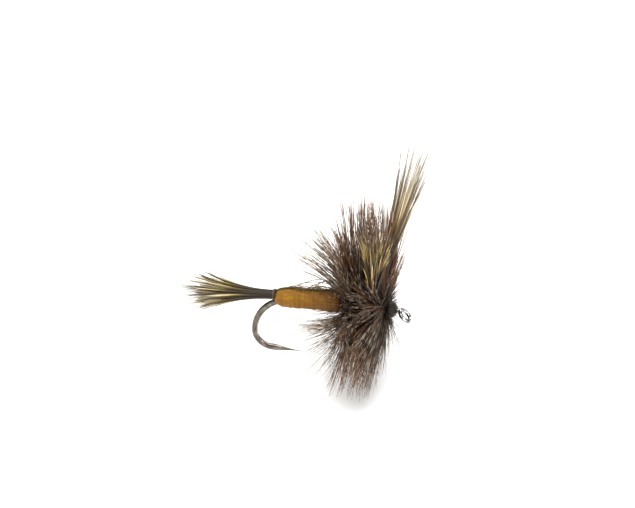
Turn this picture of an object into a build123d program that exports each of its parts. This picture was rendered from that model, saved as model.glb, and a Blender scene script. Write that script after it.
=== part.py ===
"""Hair-winged dry fly on a size 12 down-eyed hook.

The origin is the centre of the eye's hole. +X runs forward along the shank, +Z is up, and
the point hangs below the shank. The fly's right side is at -Y and its left side at +Y.
All sizes are in millimetres.
"""

import math
import os

from build123d import *

os.makedirs("parts", exist_ok=True)

# ---------------------------------------------------------------- driving dimensions

# Hook eye: a ring turned down from the shank
eye_angle = 45.0
eye_ring_radius = 0.60
eye_wire_radius = 0.185
eye_hole_radius = 0.43
eye_gap = 0.05
eye_gap_angle = 36.0
neck_bend_radius = 0.30

# Shank and forged bend
shank_radius = 0.24
neck_taper_end_x = -1.15
forging_start_x = -9.9
bend_start_x = -10.5
bend_upper_radius = 3.5
bend_lower_radius = 1.6
bend_lower_turn = 86.0
forged_half_depth = 0.30
forged_half_width = 0.21

# Point: a needle without a barb, given as (share of its length, share of the wire's size)
point_length = 2.98
point_sections = ((0.0, 1.0), (0.28, 0.82), (0.5, 0.46), (0.72, 0.2), (1.0, 0.05))

# Thread and bands along the shank
thread_radius = 0.31
thread_base_x = (-10.4, -1.5)
tie_down_x, tie_down_radius = (-5.75, -5.52), 0.62
tie_in_x, tie_in_radius = (-5.48, -5.30), 0.47
wing_dam_x, wing_dam_radii = (-2.58, -2.44), (0.56, 0.40)
tie_off_x, tie_off_radius = (-1.66, -1.5), 0.50

# Body, as (x, height of its centre, radius) from the rear to the front
body_sections = (
    (-11.96, 0.66, 0.54),
    (-11.6, 0.70, 0.72),
    (-9.0, 0.78, 0.87),
    (-6.7, 0.85, 0.98),
    (-5.75, 0.87, 0.98),
)
floss_thickness = 0.12

# Back strip of hair
strip_width = 1.0
strip_thickness = 0.20
strip_rear = (-11.7, 1.47)
strip_crown = (-8.8, 2.02)
strip_front = (-5.85, 1.98)
strip_end = (-5.62, 1.17)

# Tail: hairs in a hexagonal bunch
tail_root = Vector(-11.98, 0, 0.93)
tail_tip = Vector(-21.3, 0, 0.45)
tail_rings = 2
tail_hair_radii = (0.085, 0.03)
tail_spacing = (0.20, 0.62)
lashing_x = (-12.18, -11.99)
lashing_wall = 0.10

# Wings: hairs in a hexagonal bunch on each side, rising from the shank's axis
wing_station_x = -3.1
wing_lean = 2.6
wing_reach = 8.3
wing_rise = 11.7
wing_root_offset = 0.62
wing_rings = 3
wing_hair_radii = (0.065, 0.025)
wing_spacing = (0.14, 0.42)
post_wrap_span = (0.92, 1.28)
post_wrap_radii = (0.565, 0.645)
crossing_ring_radius = 0.40
crossing_thread_radius = 0.07
crossing_angle = 32.0

# Hackle: two feathers wound side by side, behind the wings and in front of them
stem_radius = 0.08
winding_radius = thread_radius + stem_radius + 0.01
winding_pitch = 0.42
rear_winding_x = -5.18
front_winding_x = -2.36
front_turns = 1.0
feathers = {
    # name: (first turn's start as a share of a turn, turns behind the wings)
    "brown": (0.5, 3.0),
    "grizzly": (0.0, 3.33),
}
barbs_per_turn = 15.4
barb_radii = (0.055, 0.018)
barb_root_radius = winding_radius + stem_radius + 0.01
barb_length = 8.2
rear_sweep = (-0.36, -0.10)
front_sweep = (-0.02, 0.05)
wing_gap_angles = (18.0, 58.0)

# Head
head_x = (-1.5, -0.80)
head_radii = (0.60, 0.70, 0.33)
head_shoulder_x = -1.22
whip_x = (-0.80, -0.68)
whip_radius = 0.34
cement_thickness = 0.06

# ---------------------------------------------------------------- derived values

eye_slope = math.radians(eye_angle)
eye_axis = Vector(math.sin(eye_slope), 0, math.cos(eye_slope))
neck_start = (-eye_ring_radius * math.cos(eye_slope), eye_ring_radius * math.sin(eye_slope))
neck_end_x = neck_start[0] - neck_bend_radius * math.sin(eye_slope)
shank_height = neck_start[1] + neck_bend_radius * (1 - math.cos(eye_slope))
shank_axis = Axis((0, 0, shank_height), (1, 0, 0))


def export(builder, label):
    """Label a finished piece and write its STEP file."""
    builder.part.label = label
    export_step(builder.part, f"parts/{label}.step")


def across(x, height=shank_height):
    """The plane square to the shank at x, facing forward, with its origin at a height."""
    return Plane(origin=(x, 0, height), x_dir=(0, 1, 0), z_dir=(1, 0, 0))


def on_shank(x_range, outer_start, outer_end, inner):
    """A band of thread round the shank from one x to another, made inside the open part."""
    with BuildSketch(Plane.XZ) as profile:
        with BuildLine():
            Polyline(
                (x_range[0], shank_height + inner),
                (x_range[0], shank_height + outer_start),
                (x_range[1], shank_height + outer_end),
                (x_range[1], shank_height + inner),
                close=True,
            )
        make_face()
    revolve(profile.sketch, axis=shank_axis)


def packed_places(rings):
    """Unit offsets of a bunch packed in rings of six about a centre strand."""
    places = [(0.0, 0.0)]
    for ring in range(1, rings + 1):
        for step in range(6 * ring):
            angle = 2 * math.pi * step / (6 * ring)
            places.append((ring * math.cos(angle), ring * math.sin(angle)))
    return places


def hair(length, radii):
    """A straight hair with six flats that tapers upward from the origin."""
    with BuildPart() as tapered:
        with BuildSketch() as foot:
            RegularPolygon(radii[0], 6)
        with BuildSketch(Plane.XY.offset(length)) as end:
            RegularPolygon(radii[1], 6)
        loft([foot.sketch, end.sketch])
    return tapered.part


def bunch(root, tip, rings, spacing, radii):
    """Straight tapered hairs that fan out from root to tip, made inside the open part."""
    base = Plane(origin=root, z_dir=tip - root)
    for u, v in packed_places(rings):
        foot = root + (base.x_dir * u + base.y_dir * v) * spacing[0]
        end = tip + (base.x_dir * u + base.y_dir * v) * spacing[1]
        with Locations(Plane(origin=foot, z_dir=end - foot).location):
            add(hair((end - foot).length, radii))


def wing_point(side, distance):
    """A point on a wing's middle line, at a distance from the shank's axis."""
    axis = Vector(wing_lean, side * wing_reach, wing_rise)
    return Vector(wing_station_x, 0, shank_height) + axis.normalized() * distance


# ---------------------------------------------------------------- hook

with BuildPart() as hook:
    # ring of the eye, with a flat land round its hole and the small gap where the wire ends
    with Locations(Plane(origin=(0, 0, 0), z_dir=eye_axis).location):
        Torus(eye_ring_radius, eye_wire_radius)
        Cylinder(eye_hole_radius, 4 * eye_wire_radius, mode=Mode.SUBTRACT)
    gap_way = Vector(-math.cos(eye_slope), 0, math.sin(eye_slope)).rotate(
        Axis((0, 0, 0), tuple(eye_axis)), eye_gap_angle
    )
    with Locations(Plane(origin=gap_way * eye_ring_radius, x_dir=gap_way, z_dir=eye_axis).location):
        Box(4 * eye_wire_radius, eye_gap, 4 * eye_wire_radius, mode=Mode.SUBTRACT)

    # neck that turns the eye down
    with BuildLine(Plane.XZ) as neck_path:
        JernArc(
            neck_start,
            (-math.cos(eye_slope), math.sin(eye_slope)),
            neck_bend_radius,
            eye_angle,
        )
    with BuildSketch(Plane(origin=neck_path.line @ 0, z_dir=neck_path.line % 0)):
        Circle(eye_wire_radius)
    sweep(path=neck_path.line)

    # straight shank, thicker behind its taper
    with BuildSketch(across(neck_end_x)):
        Circle(eye_wire_radius)
    with BuildSketch(across(neck_taper_end_x)):
        Circle(shank_radius)
    loft()
    with BuildSketch(across(neck_taper_end_x)):
        Circle(shank_radius)
    extrude(amount=forging_start_x - neck_taper_end_x)

    # the wire is forged from round to deep and narrow before the bend
    with BuildSketch(across(forging_start_x)):
        Circle(shank_radius)
    with BuildSketch(across(bend_start_x)):
        Ellipse(forged_half_width, forged_half_depth)
    loft()

    # bend in two arcs
    with BuildLine(Plane.XZ) as bend_path:
        upper = JernArc((bend_start_x, shank_height), (-1, 0), bend_upper_radius, 90)
        lower = JernArc(upper @ 1, upper % 1, bend_lower_radius, bend_lower_turn)
    with BuildSketch(across(bend_start_x)):
        Ellipse(forged_half_width, forged_half_depth)
    sweep(path=bend_path.line)

    # needle point
    point_start = bend_path.line @ 1
    point_way = bend_path.line % 1
    for share, size in point_sections:
        spot = point_start + point_way * (share * point_length)
        with BuildSketch(Plane(origin=spot, x_dir=(0, 1, 0), z_dir=point_way)):
            Ellipse(forged_half_width * size, forged_half_depth * size)
    loft()
export(hook, "hook")

# ---------------------------------------------------------------- thread on the shank

with BuildPart() as thread_base:
    on_shank(thread_base_x, thread_radius, thread_radius, shank_radius)
export(thread_base, "thread_base")

with BuildPart() as shellback_tie_down:
    on_shank(tie_down_x, tie_down_radius, tie_down_radius, thread_radius)
export(shellback_tie_down, "shellback_tie_down")

with BuildPart() as hackle_tie_in_wraps:
    on_shank(tie_in_x, tie_in_radius, tie_in_radius, thread_radius)
export(hackle_tie_in_wraps, "hackle_tie_in_wraps")

with BuildPart() as wing_dam_wraps:
    on_shank(wing_dam_x, wing_dam_radii[0], wing_dam_radii[1], thread_radius)
export(wing_dam_wraps, "wing_dam_wraps")

with BuildPart() as hackle_tie_off_wraps:
    on_shank(tie_off_x, tie_off_radius, tie_off_radius, thread_radius)
export(hackle_tie_off_wraps, "hackle_tie_off_wraps")

# ---------------------------------------------------------------- body


def body_loft(inset, end_inset, mode=Mode.ADD):
    """The body's smooth form, drawn in by inset all round, made inside the open part."""
    last = len(body_sections) - 1
    sections = []
    for number, (x, height, radius) in enumerate(body_sections):
        shift = {0: end_inset, last: -end_inset}.get(number, 0)
        with BuildSketch(across(x + shift, height)) as section:
            Circle(radius - inset)
        sections.append(section.sketch)
    loft(sections, mode=mode)


with BuildPart() as wire_room:
    # the channel that the threaded shank and the start of the bend fill
    with BuildSketch(across(bend_start_x)) as channel:
        Circle(thread_radius)
    extrude(channel.sketch, amount=thread_base_x[1] - bend_start_x)
    bend_centre = (bend_start_x, 0, shank_height - bend_upper_radius)
    revolve(channel.sketch, axis=Axis(bend_centre, (0, -1, 0)), revolution_arc=60)

with BuildPart() as underbody:
    body_loft(floss_thickness, floss_thickness)
    add(wire_room.part, mode=Mode.SUBTRACT)
export(underbody, "underbody")

with BuildPart() as floss_body:
    body_loft(0, 0)
    body_loft(floss_thickness, floss_thickness, Mode.SUBTRACT)
    add(wire_room.part, mode=Mode.SUBTRACT)
export(floss_body, "floss_body")

# ---------------------------------------------------------------- hair over the back

with BuildPart() as shellback_hair:
    with BuildSketch(Plane.XZ):
        with BuildLine():
            lift = Vector(0, strip_thickness)
            aside = Vector(strip_thickness, 0)
            under = ThreePointArc(strip_rear, strip_crown, strip_front)
            drop = Line(strip_front, strip_end)
            toe = Line(strip_end, Vector(*strip_end) + aside)
            brow = Line(toe @ 1, Vector(*strip_front) + aside + lift / 2)
            edge = Line(brow @ 1, Vector(*strip_front) + lift)
            over = ThreePointArc(edge @ 1, Vector(*strip_crown) + lift, Vector(*strip_rear) + lift)
            Line(over @ 1, under @ 0)
        make_face()
    extrude(amount=strip_width / 2, both=True)
export(shellback_hair, "shellback_hair")

# ---------------------------------------------------------------- tail

with BuildPart() as tail_hair:
    bunch(tail_root, tail_tip, tail_rings, tail_spacing, tail_hair_radii)
export(tail_hair, "tail_hair")

lashing_bore = tail_rings * tail_spacing[0] + tail_hair_radii[0] + 0.05
lashing_height = tail_root.Z
with BuildPart() as tail_lashing:
    with BuildSketch(across(lashing_x[0], lashing_height)):
        Circle(lashing_bore + lashing_wall)
        Circle(lashing_bore, mode=Mode.SUBTRACT)
    extrude(amount=lashing_x[1] - lashing_x[0])
    add(hook.part, mode=Mode.SUBTRACT)
export(tail_lashing, "tail_lashing")

# ---------------------------------------------------------------- wings

for side, label in ((-1, "right"), (1, "left")):
    wing_tip = wing_point(side, math.hypot(wing_lean, wing_reach, wing_rise))
    with BuildPart() as wing_hair:
        bunch(
            wing_point(side, wing_root_offset),
            wing_tip,
            wing_rings,
            wing_spacing,
            wing_hair_radii,
        )
    export(wing_hair, f"{label}_wing_hair")

    post_foot = wing_point(side, post_wrap_span[0])
    with BuildPart() as wing_post_wraps:
        with BuildSketch(Plane(origin=post_foot, z_dir=wing_tip - post_foot)):
            Circle(post_wrap_radii[1])
            Circle(post_wrap_radii[0], mode=Mode.SUBTRACT)
        extrude(amount=post_wrap_span[1] - post_wrap_span[0])
    export(wing_post_wraps, f"{label}_wing_post_wraps")

# ---------------------------------------------------------------- hackle


def winding(x, start, turns):
    """One winding of a quill's middle line: a helix that begins at a share of a turn."""
    with BuildLine() as helix:
        Helix(
            winding_pitch,
            winding_pitch * turns,
            winding_radius,
            center=(x, 0, shank_height),
            direction=(1, 0, 0),
        )
    return helix.line.rotate(shank_axis, 360 * start)


def barb_places(line, turns, first_lean, last_lean, parted):
    """Where each barb of a winding stands, as planes that face along the barbs."""
    places = []
    count = round(turns * barbs_per_turn)
    for number in range(count):
        share = (number + 0.5) / count
        spot = line @ share
        centre = Vector(spot.X, 0, shank_height)
        out = (spot - centre).normalized()
        from_top = math.degrees(math.acos(out.Z))
        if parted and wing_gap_angles[0] < from_top < wing_gap_angles[1]:
            continue
        lean = first_lean + (last_lean - first_lean) * share
        foot = centre + out * barb_root_radius
        places.append(Plane(origin=foot, z_dir=out + Vector(lean, 0, 0)).location)
    return places


stems = []
for feather, (start, rear_turns) in feathers.items():
    rear = winding(rear_winding_x, start, rear_turns)
    # in front of the wings the two quills again keep half a turn between them
    front_start = start + rear_turns
    if feather == "brown":
        brown_start, front_x = front_start, front_winding_x
    else:
        front_x = front_winding_x + winding_pitch * ((front_start - brown_start + 0.5) % 1)
    front = winding(front_x, front_start, front_turns)

    with BuildPart() as stem:
        for line in (rear, front):
            with BuildSketch(Plane(origin=line @ 0, z_dir=line % 0)):
                Circle(stem_radius)
            sweep(path=line, is_frenet=True)
        # the quill runs on under the wings from one winding to the other
        with BuildSketch(Plane(origin=rear @ 1, z_dir=(front @ 0) - (rear @ 1))):
            Circle(stem_radius)
        extrude(amount=((front @ 0) - (rear @ 1)).length)
    export(stem, f"{feather}_hackle_stem")
    stems.append(stem.part)

    with BuildPart() as barbs:
        places = barb_places(rear, rear_turns, rear_sweep[0], rear_sweep[1], False)
        places += barb_places(front, front_turns, front_sweep[0], front_sweep[1], True)
        with Locations(*places):
            add(hair(barb_length, barb_radii))
    export(barbs, f"{feather}_hackle_barbs")

# the crossed thread lies under both quills
with BuildPart() as figure_eight_wraps:
    for turn in (-crossing_angle, crossing_angle):
        way = Vector(math.cos(math.radians(turn)), math.sin(math.radians(turn)), 0)
        with Locations(Plane(origin=(wing_station_x, 0, shank_height), z_dir=way).location):
            Torus(crossing_ring_radius, crossing_thread_radius)
    with BuildSketch(across(wing_station_x - 1)):
        Circle(thread_radius)
    extrude(amount=2, mode=Mode.SUBTRACT)
    add(stems, mode=Mode.SUBTRACT)
export(figure_eight_wraps, "figure_eight_wraps")

# ---------------------------------------------------------------- head

head_outline = (
    (head_x[0], head_radii[0]),
    (head_shoulder_x, head_radii[1]),
    (head_x[1], head_radii[2]),
)

with BuildPart() as thread_head:
    with BuildSketch(Plane.XZ):
        with BuildLine():
            crown = Spline(*[(x, shank_height + radius) for x, radius in head_outline])
            Polyline(
                crown @ 1,
                (head_x[1], shank_height + shank_radius),
                (head_x[0], shank_height + shank_radius),
                crown @ 0,
            )
        make_face()
    revolve(axis=shank_axis)
export(thread_head, "thread_head")

with BuildPart() as whip_finish:
    on_shank(whip_x, whip_radius, whip_radius - 0.04, shank_radius)
export(whip_finish, "whip_finish")

with BuildPart() as head_cement:
    with BuildSketch(Plane.XZ):
        with BuildLine():
            inner = Spline(*[(x, shank_height + radius) for x, radius in head_outline])
            outer = Spline(
                *[(x, shank_height + radius + cement_thickness) for x, radius in head_outline]
            )
            Line(inner @ 0, outer @ 0)
            Line(inner @ 1, outer @ 1)
        make_face()
    revolve(axis=shank_axis)
export(head_cement, "head_cement")
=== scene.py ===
"""Looks for the hair-winged dry fly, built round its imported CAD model.

Lengths in the code are in millimetres and turn into metres where a mesh is made. The frame is
the CAD's: the origin is the centre of the eye's hole, +X runs forward along the shank, +Z is up,
and the fly's right side is at -Y.
"""

import math

import bpy
import numpy as np
from mathutils import Matrix, Vector
from mathutils.bvhtree import BVHTree


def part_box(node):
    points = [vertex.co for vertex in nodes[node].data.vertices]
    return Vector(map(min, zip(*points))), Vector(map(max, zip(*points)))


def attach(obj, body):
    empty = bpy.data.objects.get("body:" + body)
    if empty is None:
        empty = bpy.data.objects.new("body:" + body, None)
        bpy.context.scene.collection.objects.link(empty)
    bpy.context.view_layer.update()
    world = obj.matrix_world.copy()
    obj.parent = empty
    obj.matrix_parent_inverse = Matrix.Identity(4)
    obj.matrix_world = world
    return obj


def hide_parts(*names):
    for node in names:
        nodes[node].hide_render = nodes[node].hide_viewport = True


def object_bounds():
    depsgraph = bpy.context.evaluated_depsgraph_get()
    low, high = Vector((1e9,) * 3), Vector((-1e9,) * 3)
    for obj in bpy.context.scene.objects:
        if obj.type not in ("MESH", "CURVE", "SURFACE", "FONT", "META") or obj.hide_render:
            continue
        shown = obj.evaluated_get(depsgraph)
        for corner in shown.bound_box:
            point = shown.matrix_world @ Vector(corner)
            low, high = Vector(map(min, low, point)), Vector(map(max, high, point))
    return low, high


MM = 0.001
SEED = 12
SHADE_ROWS = 64  # rows of a strand map: each strand takes one row's shade
STRAND_MAP = "OFBake"  # the map that the strands' materials read
MAP_MARGIN = 0.01  # left free at each end of the map
ROW_MARGIN = 0.15  # share of a row left free on each side

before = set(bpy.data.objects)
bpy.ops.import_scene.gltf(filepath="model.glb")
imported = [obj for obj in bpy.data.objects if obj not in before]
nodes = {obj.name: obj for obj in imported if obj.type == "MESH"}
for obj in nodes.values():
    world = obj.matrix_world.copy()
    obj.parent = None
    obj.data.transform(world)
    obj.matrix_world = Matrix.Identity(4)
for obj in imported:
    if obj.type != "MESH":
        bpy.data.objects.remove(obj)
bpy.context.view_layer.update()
rng = np.random.default_rng(SEED)


# ---------------------------------------------------------------- places from the frame


def span(node):
    """A CAD node's lowest and highest corners, in millimetres."""
    low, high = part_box(node)
    return np.array(low) / MM, np.array(high) / MM


def middle(node):
    """The middle of a CAD node's box, in millimetres."""
    low, high = span(node)
    return (low + high) / 2


FORWARD = np.array([1.0, 0.0, 0.0])
UP = np.array([0.0, 0.0, 1.0])
ASKEW = (0.31, 0.52, 0.79)  # no hair runs along it, so a hair's rings can be set square to it
base_low, base_high = span("thread_base")
body_low, body_high = span("floss_body")
SHANK_Z = middle("thread_base")[2]
SHANK = np.array([0.0, 0.0, SHANK_Z])
THREAD_TOP = (base_high - base_low)[2] / 2  # radius of the thread base
HOOK_WIRE = 0.24  # radius of the hook's wire
BEND_HIGHLIGHT = (-11.4, -12.2)  # where the painted highlight on the bend's inside begins, and where it is full
WORN_EYE = (-0.7, -0.2)
BODY_REAR, BODY_FRONT = body_low[0], body_high[0]


# ---------------------------------------------------------------- tubes and strands


def grid_faces(rings, sides):
    """Faces and map places of rings of points joined into a tube with closed ends."""
    faces, maps = [], []
    for i in range(rings - 1):
        for j in range(sides):
            k = (j + 1) % sides
            a, b = i * sides, (i + 1) * sides
            faces.append((a + j, a + k, b + k, b + j))
            u, w = i / (rings - 1), (i + 1) / (rings - 1)
            s, t = j / sides, (j + 1) / sides
            maps += [(u, s), (u, t), (w, t), (w, s)]
    faces.append(tuple(range(sides - 1, -1, -1)))
    maps += [(0.0, (sides - 1 - j) / sides) for j in range(sides)]
    top = (rings - 1) * sides
    faces.append(tuple(range(top, top + sides)))
    maps += [(1.0, j / sides) for j in range(sides)]
    return faces, maps


def around_shank(x, radius, angles, height):
    """Points of a tube round a line along the fly: a ring at each x, a point at each angle."""
    return np.stack(
        [
            np.broadcast_to(x[:, None], radius.shape),
            radius * np.cos(angles),
            height + radius * np.sin(angles),
        ],
        axis=-1,
    ).reshape(-1, 3)


def rays_at(angles):
    """Directions square to the shank, at angles from the left side up."""
    return np.stack([0 * angles, np.cos(angles), np.sin(angles)], axis=1)


class Bundle:
    """Strands gathered into one mesh. On its map u runs along a strand and v holds its shade."""

    def __init__(self, sides):
        self.sides = sides
        self.points, self.faces, self.maps = [], [], []
        self.size = 0
        self.templates = {}

    def template(self, rings):
        """Faces and map positions of a strand with so many rings, counted from its first point."""
        if rings not in self.templates:
            faces, maps = grid_faces(rings, self.sides)
            self.templates[rings] = (faces, np.array(maps))
        return self.templates[rings]

    def strand(self, path, radii, shade, facing=ASKEW, flat=1.0):
        """Adds a strand along path. flat squeezes it towards facing, and shade is from 0 to 1."""
        path = np.asarray(path, float)
        along = np.gradient(path, axis=0)
        along /= np.linalg.norm(along, axis=1)[:, None]
        side = np.cross(along, np.broadcast_to(facing, path.shape))
        side /= np.linalg.norm(side, axis=1)[:, None]
        over = np.cross(side, along)
        turn = math.tau * np.arange(self.sides) / self.sides
        radii = np.broadcast_to(radii, len(path))[:, None, None]
        ring = side[:, None, :] * np.cos(turn)[None, :, None]
        ring = ring + over[:, None, :] * np.sin(turn)[None, :, None] * flat
        self.points.append((path[:, None, :] + ring * radii).reshape(-1, 3))
        faces, maps = self.template(len(path))
        self.faces += [tuple(self.size + v for v in face) for face in faces]
        row = min(int(shade * SHADE_ROWS), SHADE_ROWS - 1)
        corner = (MAP_MARGIN, (row + ROW_MARGIN) / SHADE_ROWS)
        self.maps.append(maps * (1 - 2 * MAP_MARGIN, (1 - 2 * ROW_MARGIN) / SHADE_ROWS) + corner)
        self.size += len(path) * self.sides

    def make(self, name, material, stands_for=(), slot=None):
        """Makes the mesh, and puts it in the scene in place of the CAD nodes it stands for."""
        points, maps = np.concatenate(self.points), np.concatenate(self.maps)
        make_piece(name, points, self.faces, maps, material, stands_for)


def make_piece(name, points, faces, maps, material, stands_for=()):
    """A smooth-shaded mesh from points in millimetres, riding on the fly."""
    mesh = bpy.data.meshes.new(name)
    mesh.from_pydata((points * MM).tolist(), [], faces)
    layer = mesh.uv_layers.new(name=STRAND_MAP)
    layer.data.foreach_set("uv", np.asarray(maps, np.float32).ravel())
    mesh.shade_smooth()
    mesh.materials.append(material)
    piece = bpy.data.objects.new(name, mesh)
    bpy.context.scene.collection.objects.link(piece)
    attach(piece, "root")
    if stands_for:
        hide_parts(*stands_for)


def unit(vector):
    """The vector at length one."""
    vector = np.asarray(vector, float)
    return vector / np.linalg.norm(vector)


def bezier(a, b, c, steps):
    """Points of the curve that leaves a towards b and comes to c."""
    t = np.linspace(0, 1, steps)[:, None]
    return (1 - t) ** 2 * a + 2 * t * (1 - t) * b + t**2 * c


def taper(root, mid, tip, steps, peak=0.35):
    """Radii that swell from root to mid at peak and then fall to tip."""
    t = np.linspace(0, 1, steps)
    swell = np.interp(t, [0, peak, 1], [0, 1, 0])
    return np.where(t < peak, root + (mid - root) * swell, tip + (mid - tip) * swell**0.8)


def in_disc(count):
    """Points spread evenly over a unit disc, in a sunflower order with a little disorder."""
    golden_angle = math.pi * (3 - math.sqrt(5))
    index = np.arange(count)
    radius = np.sqrt((index + 0.5) / count)
    angle = index * golden_angle + rng.uniform(-0.3, 0.3, count)
    return np.stack([radius * np.cos(angle), radius * np.sin(angle)], axis=1)


def clumped(offsets, clumps, pull):
    """Offsets drawn part of the way to the nearest of a few of themselves, as hair tips gather."""
    centres = offsets[rng.choice(len(offsets), clumps, replace=False)]
    gaps = np.linalg.norm(offsets[:, None] - centres[None], axis=2)
    nearest = centres[np.argmin(gaps, axis=1)]
    return offsets + (nearest - offsets) * pull


# ---------------------------------------------------------------- materials


def new_material(name, **sockets):
    """A Principled material. Sockets that are the same all over are set on the shader itself."""
    material = bpy.data.materials.new(name)
    material.use_nodes = True
    tree = material.node_tree
    shader = tree.nodes["Principled BSDF"]
    for socket, value in sockets.items():
        shader.inputs[socket.replace("_", " ")].default_value = value
    return material, tree, shader


def add_node(tree, kind, inputs=None, **settings):
    """Adds a node. Inputs given as sockets are linked, and others are set."""
    node = tree.nodes.new(kind)
    for key, value in settings.items():
        setattr(node, key, value)
    for key, value in (inputs or {}).items():
        if isinstance(value, bpy.types.NodeSocket):
            tree.links.new(value, node.inputs[key])
        else:
            node.inputs[key].default_value = value
    return node


def maths(tree, operation, a, b=0.0, c=0.0):
    """One step of arithmetic on sockets or numbers."""
    return add_node(tree, "ShaderNodeMath", {0: a, 1: b, 2: c}, operation=operation).outputs[0]


def ramp(tree, value, stops):
    """Colours, or greys, at given places from 0 to 1."""
    node = add_node(tree, "ShaderNodeValToRGB", {"Fac": value})
    elements = node.color_ramp.elements
    while len(elements) < len(stops):
        elements.new(0.5)
    for element, (place, colour) in zip(elements, stops):
        element.position = place
        colour = (colour,) * 3 if isinstance(colour, (int, float)) else colour
        element.color = (*colour, 1)
    return node.outputs["Color"]


def mixed(tree, share, a, b, blend="MIX"):
    """One colour mixed with another by share."""
    node = add_node(tree, "ShaderNodeMix", data_type="RGBA", blend_type=blend)
    for key, value in (("Factor", share), ("A", a), ("B", b)):
        socket = node.inputs[key]
        if isinstance(value, bpy.types.NodeSocket):
            tree.links.new(value, socket)
        elif isinstance(value, (int, float)):
            socket.default_value = value
        else:
            socket.default_value = (*value, 1)
    return node.outputs["Result"]


def noise(tree, place, scale, detail=2.0, rough=0.5):
    """A grey noise over the places given, with scale cells to each metre on the fly."""
    return add_node(
        tree,
        "ShaderNodeTexNoise",
        {"Vector": place, "Scale": scale, "Detail": detail, "Roughness": rough},
    ).outputs["Fac"]


def stretched(tree, place, scale):
    """Places drawn together along each axis, so that a noise over them turns into streaks."""
    return add_node(tree, "ShaderNodeMapping", {0: place, "Scale": scale}).outputs[0]


def object_place(tree):
    """The place on the fly, in metres."""
    return add_node(tree, "ShaderNodeTexCoord").outputs["Object"]


def axes(tree, vector):
    """The three numbers of a vector."""
    return add_node(tree, "ShaderNodeSeparateXYZ", {0: vector}).outputs


def between(tree, value, start, end):
    """How far a length in metres has come from start to end, in millimetres: 0 to 1."""
    limits = {"Value": value, "From Min": start * MM, "From Max": end * MM}
    return add_node(tree, "ShaderNodeMapRange", limits).outputs[0]


def strand_material(name, stops, tone, drift=0.12, bars=None, dark=None, **sockets):
    """Hair or barb: colours along u from root to tip, shifted and toned by each strand's shade.

    tone is how far the strands differ in lightness, and drift how far their colours shift along
    them. bars is (count, colour, share) for cross bars along the strand, and dark is
    (share, colour) for the strands that have no pale band.
    """
    grain_along, grain_across = 9.0, 3.7
    grain_tone, grain_gloss = 0.7, 0.25
    bar_edge, bar_disorder = 0.12, 1.2
    dark_edge, dark_strength = 0.1, 0.92
    material, tree, shader = new_material(name, **sockets)
    place = add_node(tree, "ShaderNodeUVMap", uv_map=STRAND_MAP).outputs[0]
    split = axes(tree, place)
    row = maths(tree, "FLOOR", maths(tree, "MULTIPLY", split[1], SHADE_ROWS))
    chance = add_node(tree, "ShaderNodeTexWhiteNoise", {"W": row}, noise_dimensions="1D").outputs
    chances = add_node(tree, "ShaderNodeSeparateColor", {0: chance["Color"]}).outputs
    shift = maths(tree, "MULTIPLY_ADD", chance["Value"], drift, -drift / 2)
    colour = ramp(tree, maths(tree, "ADD", split[0], shift), stops)
    along = maths(tree, "MULTIPLY", split[0], grain_along)
    across = maths(tree, "MULTIPLY", row, grain_across)
    grain_place = add_node(tree, "ShaderNodeCombineXYZ", {0: along, 1: across}).outputs[0]
    grain = noise(tree, grain_place, 1.0, 3.0)
    if dark:
        share, shadow = dark
        choice = ramp(tree, chances[2], [(share, dark_strength), (share + dark_edge, 0.0)])
        colour = mixed(tree, choice, colour, shadow)
    if bars:
        count, bar_colour, share = bars
        phase = maths(tree, "MULTIPLY", chances[1], math.tau)
        wave = maths(tree, "SINE", maths(tree, "MULTIPLY_ADD", split[0], math.tau * count, phase))
        disorder = maths(tree, "MULTIPLY_ADD", grain, bar_disorder, -bar_disorder / 2)
        wave = maths(tree, "MULTIPLY_ADD", maths(tree, "ADD", wave, disorder), 0.5, 0.5)
        band = ramp(tree, wave, [(share - bar_edge, 1.0), (share + bar_edge, 0.0)])
        colour = mixed(tree, band, colour, bar_colour)
    lightness = maths(tree, "MULTIPLY_ADD", chance["Value"], tone, 1 - tone / 2)
    grain_lightness = maths(tree, "MULTIPLY_ADD", grain, grain_tone, 1 - grain_tone / 2)
    lightness = maths(tree, "MULTIPLY", lightness, grain_lightness)
    grey = add_node(tree, "ShaderNodeCombineColor", {0: lightness, 1: lightness, 2: lightness})
    colour = mixed(tree, 1.0, colour, grey.outputs[0], "MULTIPLY")
    tree.links.new(colour, shader.inputs["Base Color"])
    roughness = maths(tree, "MULTIPLY_ADD", grain, grain_gloss, sockets["Roughness"] - 0.12)
    tree.links.new(roughness, shader.inputs["Roughness"])
    add_bump(tree, shader, grain, strength=0.25, depth=0.02)
    return material


def add_bump(tree, shader, height, strength, depth):
    """Fine relief from a grey noise. depth is in millimetres."""
    bump = add_node(
        tree, "ShaderNodeBump", {"Height": height, "Strength": strength, "Distance": depth * MM}
    )
    tree.links.new(bump.outputs[0], shader.inputs["Normal"])


HAIR_GLOSS = {"Roughness": 0.5, "Specular_IOR_Level": 0.3}
BARB_GLOSS = {"Roughness": 0.55, "Specular_IOR_Level": 0.2}

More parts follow.
